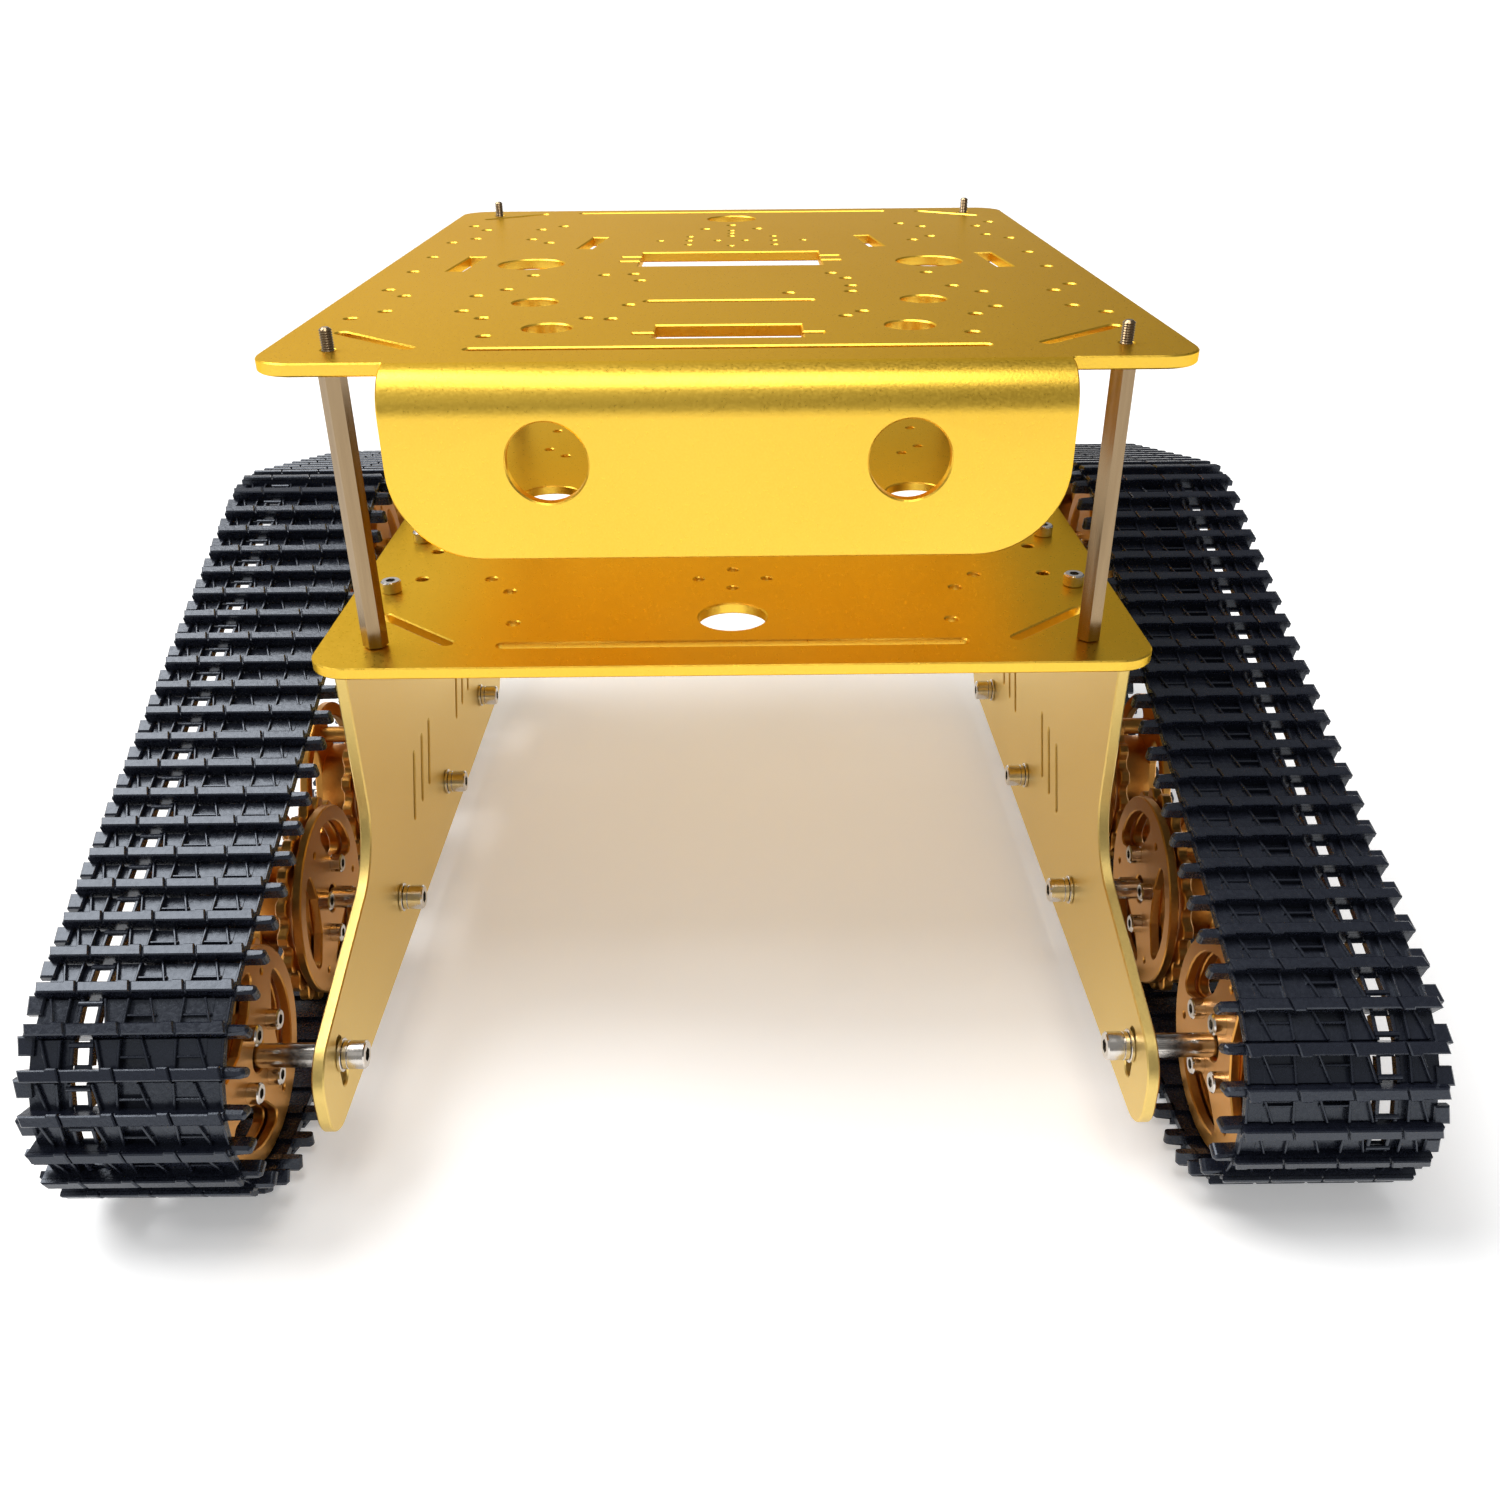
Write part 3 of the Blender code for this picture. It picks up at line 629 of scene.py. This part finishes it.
def make_motor(side, label):
    low, high = layout_box(f"{label}_gearbox")
    y = (low.y + high.y) / 2.0
    z = (low.z + high.z) / 2.0
    radius = (high.z - low.z) / 2.0
    face = PLATE_IN - 0.1
    back = min(abs(low.x), abs(high.x))
    shape = Shape(side_on(side, 0.0, y, z))
    profile = [(back, radius - 0.6), (back + 0.5, radius), (back + 1.8, radius), (back + 2.0, radius - 0.4),
               (back + 2.3, radius - 0.4), (back + 2.5, radius), (face - 3.0, radius),
               (face - 2.8, radius - 0.4),
               (face - 2.5, radius - 0.4), (face - 2.3, radius), (face - 0.4, radius), (face, radius - 0.4)]
    shape.lathe(profile, 64)
    drive = WHEELS[f"{label}_drive_wheel"]
    shape.shell(side_on(side, 0.0, drive.y, drive.z))
    shape.lathe([(face - 0.2, 5.9), (PLATE_OUT - 0.5, 5.9), (PLATE_OUT, 5.5)], 40)
    shape.piece(f"{label}_gearbox_case", STEEL, "chassis", [f"{label}_gearbox"])
    low, high = layout_box(f"{label}_motor")
    radius = (high.z - low.z) / 2.0
    near = max(abs(low.x), abs(high.x))
    far = min(abs(low.x), abs(high.x))
    shape = Shape(side_on(side, 0.0, y, z))
    profile = [(far, 2.4), (far + 0.3, 2.8), (far + 1.8, 2.8), (far + 1.9, 5.0), (far + 3.0, 5.0),
               (far + 3.1, radius - 1.6), (far + 3.9, radius - 0.2), (far + 4.6, radius),
               (near - 1.6, radius),
               (near - 1.4, radius - 0.5), (near - 0.4, radius - 0.5), (near, radius - 1.0)]
    shape.lathe(profile, 64)
    for offset in (-9.0, 9.0):
        shape.shell(Matrix.Identity(4))
        x0, x1 = sorted((side * far, side * (far + 3.6)))
        near_y = y + offset - 1.4
        far_y = y + offset + 1.4
        shape.plate([oblong(x0, x1, near_y, far_y)], z - 0.25, z + 0.25, 0.1)
    shape.piece(f"{label}_motor_can", CAN, "chassis", [f"{label}_motor"])


def block(shape, loop, low, high, edge):
    """Block with eased upper edges, from an outline across (x) and along (s) the track."""
    eased = grow(loop, -edge)
    shape.shell()
    heights = ((loop, low), (loop, high - edge), (eased, high))
    shape.skin([[(a, b, t) for a, b in ring] for ring, t in heights])
    shape.cap([loop], low)
    shape.cap([eased], high)


def oblong(x0, x1, s0, s1):
    return [(x0, s0), (x1, s0), (x1, s1), (x0, s1)]


def make_link():
    """One link as vertex and face lists, in (x, s, n) millimetres. Its bar lies at s = 0."""
    shape = Shape()
    pitch = 2.0 * math.pi * PITCH_R / TEETH
    hinge = pitch * HINGE_PART
    far = pitch - BAR_HALF - 0.35
    ledge = BAR_HALF - 0.3
    block(shape, oblong(BAR_CUTS[0], BAR_CUTS[-1], -BAR_HALF, BAR_HALF), LINK_LOW, BAR_TOP - 0.9, 0.2)
    for x0, x1 in zip(BAR_CUTS, BAR_CUTS[1:]):
        left = x0 + BAR_GAP
        right = x1 - BAR_GAP
        loop = [(left - 0.5, -BAR_HALF), (right - 0.5, -BAR_HALF), (right + 0.3, BAR_HALF),
                (left + 3.0, BAR_HALF), (left + 2.7, BAR_HALF + BAR_NOTCH),
                (left + 0.4, BAR_HALF + BAR_NOTCH)]
        block(shape, loop, BAR_TOP - 1.3, BAR_TOP, 0.3)
    for x0, near, x1 in RAISED:
        loop = [(x0, ledge), (near, ledge), (x1, far), (x0, far)]
        block(shape, loop, LINK_LOW + 1.0, PAD_FACE - 0.6, 0.2)
        loop = [(x0, ledge), (x0 + RIB_WIDE, ledge), (x0 + RIB_WIDE, far), (x0, far)]
        block(shape, loop, PAD_FACE - 0.9, RIB_TOP, 0.15)
        loop = [(near - RIB_WIDE, ledge), (near, ledge), (x1, far), (x1 - RIB_WIDE, far)]
        block(shape, loop, PAD_FACE - 0.9, RIB_TOP, 0.15)
    for x0, x1, deep in SUNK:
        floor = max(FLOOR_FACE, deep + 0.3)
        block(shape, oblong(x0 - 0.2, x1 + 0.2, BAR_HALF + 2.2, far), deep - 0.8, floor, 0.1)
        block(shape, oblong(x0 - 0.2, x1 + 0.2, ledge, BAR_HALF + 2.4), deep - 0.8, deep, 0.1)
        block(shape, oblong(x0, x1, BAR_HALF + 2.1, BAR_HALF + 2.7), deep - 0.3, PAD_FACE, 0.15)
    x0, x1 = WINDOW_X
    for low, high in ((x0 - 0.9, x0), (x1, x1 + 0.9)):
        block(shape, oblong(low, high, BAR_HALF + 0.6, far), LINK_LOW + 0.6, PAD_FACE, 0.2)
    block(shape, oblong(x0 - 0.3, x1 + 0.3, ledge, BAR_HALF + 0.8), LINK_LOW + 1.2, FLOOR_FACE, 0.1)
    block(shape, oblong(x1 + 0.6, RAISED[3][0] + 0.3, ledge, far), LINK_LOW + 1.0, FLOOR_FACE, 0.1)
    pin = side_on(1.0, 0.0, hinge, PITCH_R)
    shape.shell(pin)
    shape.lathe([(x0 - 1.0, 0.7), (x1 + 1.0, 0.7)], 12)
    shape.shell(Matrix.Identity(4))
    block(shape, oblong(RAISED[3][1] - 0.4, 157.6, ledge, far), LINK_LOW + 1.0, FLOOR_FACE, 0.1)
    tab = rounded([(BAR_CUTS[0] + 0.6, -1.3, 0.1), (BAR_CUTS[0] + 0.6, 1.3, 0.1), (TAB_IN, 1.2, 1.1),
                   (TAB_IN, -1.2, 1.1)], 5)
    block(shape, tab, LINK_LOW, PAD_FACE + 0.9, 0.7)
    tab = [(156.4, hinge - 2.3), (TAB_OUT - 0.5, hinge - 2.3), (TAB_OUT, hinge + 2.1), (156.4, hinge + 2.1)]
    block(shape, tab, LINK_LOW + 0.6, PAD_FACE - 0.2, 0.4)
    bmesh.ops.recalc_face_normals(shape.mesh, faces=shape.mesh.faces[:])
    shape.mesh.verts.index_update()
    points = [vert.co.copy() for vert in shape.mesh.verts]
    faces = [[vert.index for vert in face.verts] for face in shape.mesh.faces]
    shape.mesh.free()
    return points, faces


class Path:
    """Closed line of the link hinges around the wheels of one side."""

    def __init__(self, label):
        order = ["front_idler", "road_wheel_3", "rear_idler", "drive_wheel"]
        centres = [WHEELS[f"{label}_{name}"] for name in order]
        self.parts = []
        headings = []
        for index, here in enumerate(centres):
            there = centres[(index + 1) % 4]
            headings.append(math.atan2(there.z - here.z, there.y - here.y))
        self.length = 0.0
        for index, here in enumerate(centres):
            there = centres[(index + 1) % 4]
            turn = (headings[index] - headings[index - 1]) % (2.0 * math.pi)
            self.parts.append(("wrap", self.length, here, headings[index - 1], turn))
            self.length += PITCH_R * turn
            run = math.hypot(there.y - here.y, there.z - here.z)
            self.parts.append(("run", self.length, here, headings[index], run))
            self.length += run
        self.pitch = self.length / LINKS

    def at(self, distance):
        """Place and heading of the hinge line at a distance along it."""
        distance %= self.length
        found = [part for part in self.parts if part[1] <= distance + 1e-9][-1]
        kind, start, centre, heading, size = found
        gone = distance - start
        if kind == "wrap":
            heading += gone / PITCH_R
            gone = 0.0
        y = centre.y + PITCH_R * math.sin(heading) + gone * math.cos(heading)
        z = centre.z - PITCH_R * math.cos(heading) + gone * math.sin(heading)
        return Vector((y, z)), heading

    def along(self, centre, contact):
        """Distance at which the line is over a wheel, in the contact direction."""
        best = None
        for step in range(4000):
            distance = self.length * step / 4000.0
            place, heading = self.at(distance)
            goal = Vector((centre.y + PITCH_R * math.cos(contact), centre.z + PITCH_R * math.sin(contact)))
            miss = (place - goal).length
            if best is None or miss < best[0]:
                best = (miss, distance)
        return best[1]


def make_track(side, label, path, first):
    points, faces = make_link()
    way = BAR_WAY[label]
    after = HINGE_PART if way > 0.0 else 1.0 - HINGE_PART
    flip = side * way < 0.0
    verts = []
    polygons = []
    for index in range(LINKS):
        start = path.at(first + (index + after - 1.0) * path.pitch)[0]
        end = path.at(first + (index + after) * path.pitch)[0]
        along = (end - start).normalized()
        bar = start.lerp(end, 1.0 - after)
        out = Vector((along.y, -along.x))
        offset = len(verts)
        for x, s, n in points:
            place = bar + along * (s * way) + out * (n - PITCH_R)
            verts.append(ORIGIN + Vector((side * x, place.x, place.y)) * MM)
        for face in faces:
            shifted = [offset + corner for corner in face]
            polygons.append(shifted[::-1] if flip else shifted)
    data = bpy.data.meshes.new(f"{label}_track_links")
    data.from_pydata(verts, [], polygons)
    data.polygons.foreach_set("use_smooth", [True] * len(data.polygons))
    data.set_sharp_from_angle(angle=math.radians(25.0))
    data.materials.append(PLASTIC)
    made = bpy.data.objects.new(f"{label}_track_links", data)
    bpy.context.scene.collection.objects.link(made)
    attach(made, "chassis")
    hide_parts(f"{label}_track")


def make_side(side, label):
    path = Path(label)
    idler = WHEELS[f"{label}_front_idler"]
    first = path.along(idler, BAR_PHASE[label])
    make_track(side, label, path, first)
    contacts = {"front_idler": math.pi, "road_wheel_1": -math.pi / 2.0, "road_wheel_2": -math.pi / 2.0,
                "road_wheel_3": -math.pi / 2.0, "rear_idler": 0.0, "drive_wheel": math.pi / 2.0}
    turns = {"front_idler": (-5.0 if side < 0.0 else 40.0, 20.0), "road_wheel_1": (170.0, 60.0),
             "road_wheel_2": (40.0, 80.0), "road_wheel_3": (75.0, 15.0), "rear_idler": (20.0, 50.0),
             "drive_wheel": (130.0, 35.0)}
    for wheel, contact in contacts.items():
        centre = WHEELS[f"{label}_{wheel}"]
        here = path.along(centre, contact)
        after = HINGE_PART if BAR_WAY[label] > 0.0 else 1.0 - HINGE_PART
        hinge = first + (math.floor((here - first) / path.pitch) + after) * path.pitch
        phase = contact + (hinge - here) / PITCH_R
        turn, screw_turn = (math.radians(angle) for angle in turns[wheel])
        make_wheel(side, label, wheel, phase, turn, screw_turn)
        make_axle(side, label, wheel)
    make_motor(side, label)
    make_side_plate(side, label)
    make_standoffs(side, label)
    make_deck_screws(side, label)


make_top_deck()
make_mid_deck()
make_side(-1.0, "left")
make_side(1.0, "right")

# Stage: a white floor that rises gently far behind the vehicle
REACH = 14.0
RISE_FROM = 2.0
RISE = 0.9
profile = [(-REACH, 0.0)]
for step in range(13):
    part = step / 12.0
    profile.append((RISE_FROM + (REACH - RISE_FROM) * part, RISE * part * part))
floor_data = bpy.data.meshes.new("floor")
floor_verts = [(x, y, z) for y, z in profile for x in (-REACH, REACH)]
floor_faces = [(2 * i, 2 * i + 1, 2 * i + 3, 2 * i + 2) for i in range(len(profile) - 1)]
floor_data.from_pydata(floor_verts, [], floor_faces)
floor = bpy.data.objects.new("floor", floor_data)
bpy.context.scene.collection.objects.link(floor)
floor_white, _, _, shader = new_material("floor_white")
shader.inputs["Base Color"].default_value = (0.95, 0.95, 0.95, 1.0)
shader.inputs["Roughness"].default_value = 0.9
shader.inputs["Emission Color"].default_value = (1.0, 1.0, 1.0, 1.0)
shader.inputs["Emission Strength"].default_value = 0.30
floor_data.materials.append(floor_white)


def area_light(name, place, target, size, power):
    data = bpy.data.lights.new(name, "AREA")
    data.shape = "RECTANGLE"
    data.size = size[0]
    data.size_y = size[1]
    data.energy = power
    lamp = bpy.data.objects.new(name, data)
    bpy.context.scene.collection.objects.link(lamp)
    lamp.location = place
    lamp.rotation_euler = (Vector(target) - Vector(place)).to_track_quat("-Z", "Y").to_euler()


area_light("softbox_front", (-0.6, -1.5, 1.5), (0.0, 0.0, 0.1), (1.4, 1.0), 1.0)
area_light("softbox_top", (0.0, -0.35, 1.7), (0.0, -0.1, 0.2), (0.7, 0.9), 8.0)

sky_data = bpy.data.lights.new("ceiling_light", "SUN")
sky_data.energy = 2.1
sky_data.angle = math.radians(36.0)
ceiling = bpy.data.objects.new("ceiling_light", sky_data)
bpy.context.scene.collection.objects.link(ceiling)
ceiling.rotation_euler = Vector((0.50, -0.20, -0.84)).to_track_quat("-Z", "Y").to_euler()

world = bpy.data.worlds.new("studio")
bpy.context.scene.world = world
world.use_nodes = True
nodes = world.node_tree.nodes
links = world.node_tree.links
heading = nodes.new("ShaderNodeTexCoord")
toward = nodes.new("ShaderNodeVectorMath")
toward.operation = "DOT_PRODUCT"
toward.inputs[1].default_value = (-0.9, -0.4, 0.1)
links.new(heading.outputs["Generated"], toward.inputs[0])
sky = nodes.new("ShaderNodeMapRange")
sky.inputs["From Min"].default_value = -1.0
sky.inputs["From Max"].default_value = 1.0
sky.inputs["To Min"].default_value = 0.16
sky.inputs["To Max"].default_value = 0.40
links.new(toward.outputs["Value"], sky.inputs["Value"])
behind = nodes.new("ShaderNodeVectorMath")
behind.operation = "DOT_PRODUCT"
behind.inputs[1].default_value = (-0.42, 0.87, 0.26)
links.new(heading.outputs["Generated"], behind.inputs[0])
glow = nodes.new("ShaderNodeMapRange")
glow.inputs["From Min"].default_value = 0.66
glow.inputs["From Max"].default_value = 1.0
glow.inputs["To Min"].default_value = 0.0
glow.inputs["To Max"].default_value = 0.42
links.new(behind.outputs["Value"], glow.inputs["Value"])
nodes["Background"].inputs["Color"].default_value = (1.0, 1.0, 1.0, 1.0)
total = nodes.new("ShaderNodeMath")
total.operation = "ADD"
links.new(sky.outputs["Result"], total.inputs[0])
links.new(glow.outputs["Result"], total.inputs[1])
links.new(total.outputs["Value"], nodes["Background"].inputs["Strength"])
bpy.context.scene.view_settings.view_transform = "Standard"

# Camera
CAMERA_PLACE = Vector((2.8, -285.3, 135.2))
CAMERA_DOWN = math.radians(29.12)
CAMERA_TURN = math.radians(-0.27)
CAMERA_ROLL = math.radians(-0.476)
camera_data = bpy.data.cameras.new("camera")
camera_data.lens = 31.01
camera_data.sensor_width = 36.0
camera_data.clip_start = 0.01
camera = bpy.data.objects.new("camera", camera_data)
bpy.context.scene.collection.objects.link(camera)
aim = Matrix.Rotation(CAMERA_TURN, 4, "Z") @ Matrix.Rotation(math.pi / 2.0 - CAMERA_DOWN, 4, "X")
roll = Matrix.Rotation(CAMERA_ROLL, 4, "Z")
camera.matrix_world = Matrix.Translation(ORIGIN + CAMERA_PLACE * MM) @ aim @ roll
bpy.context.scene.camera = camera
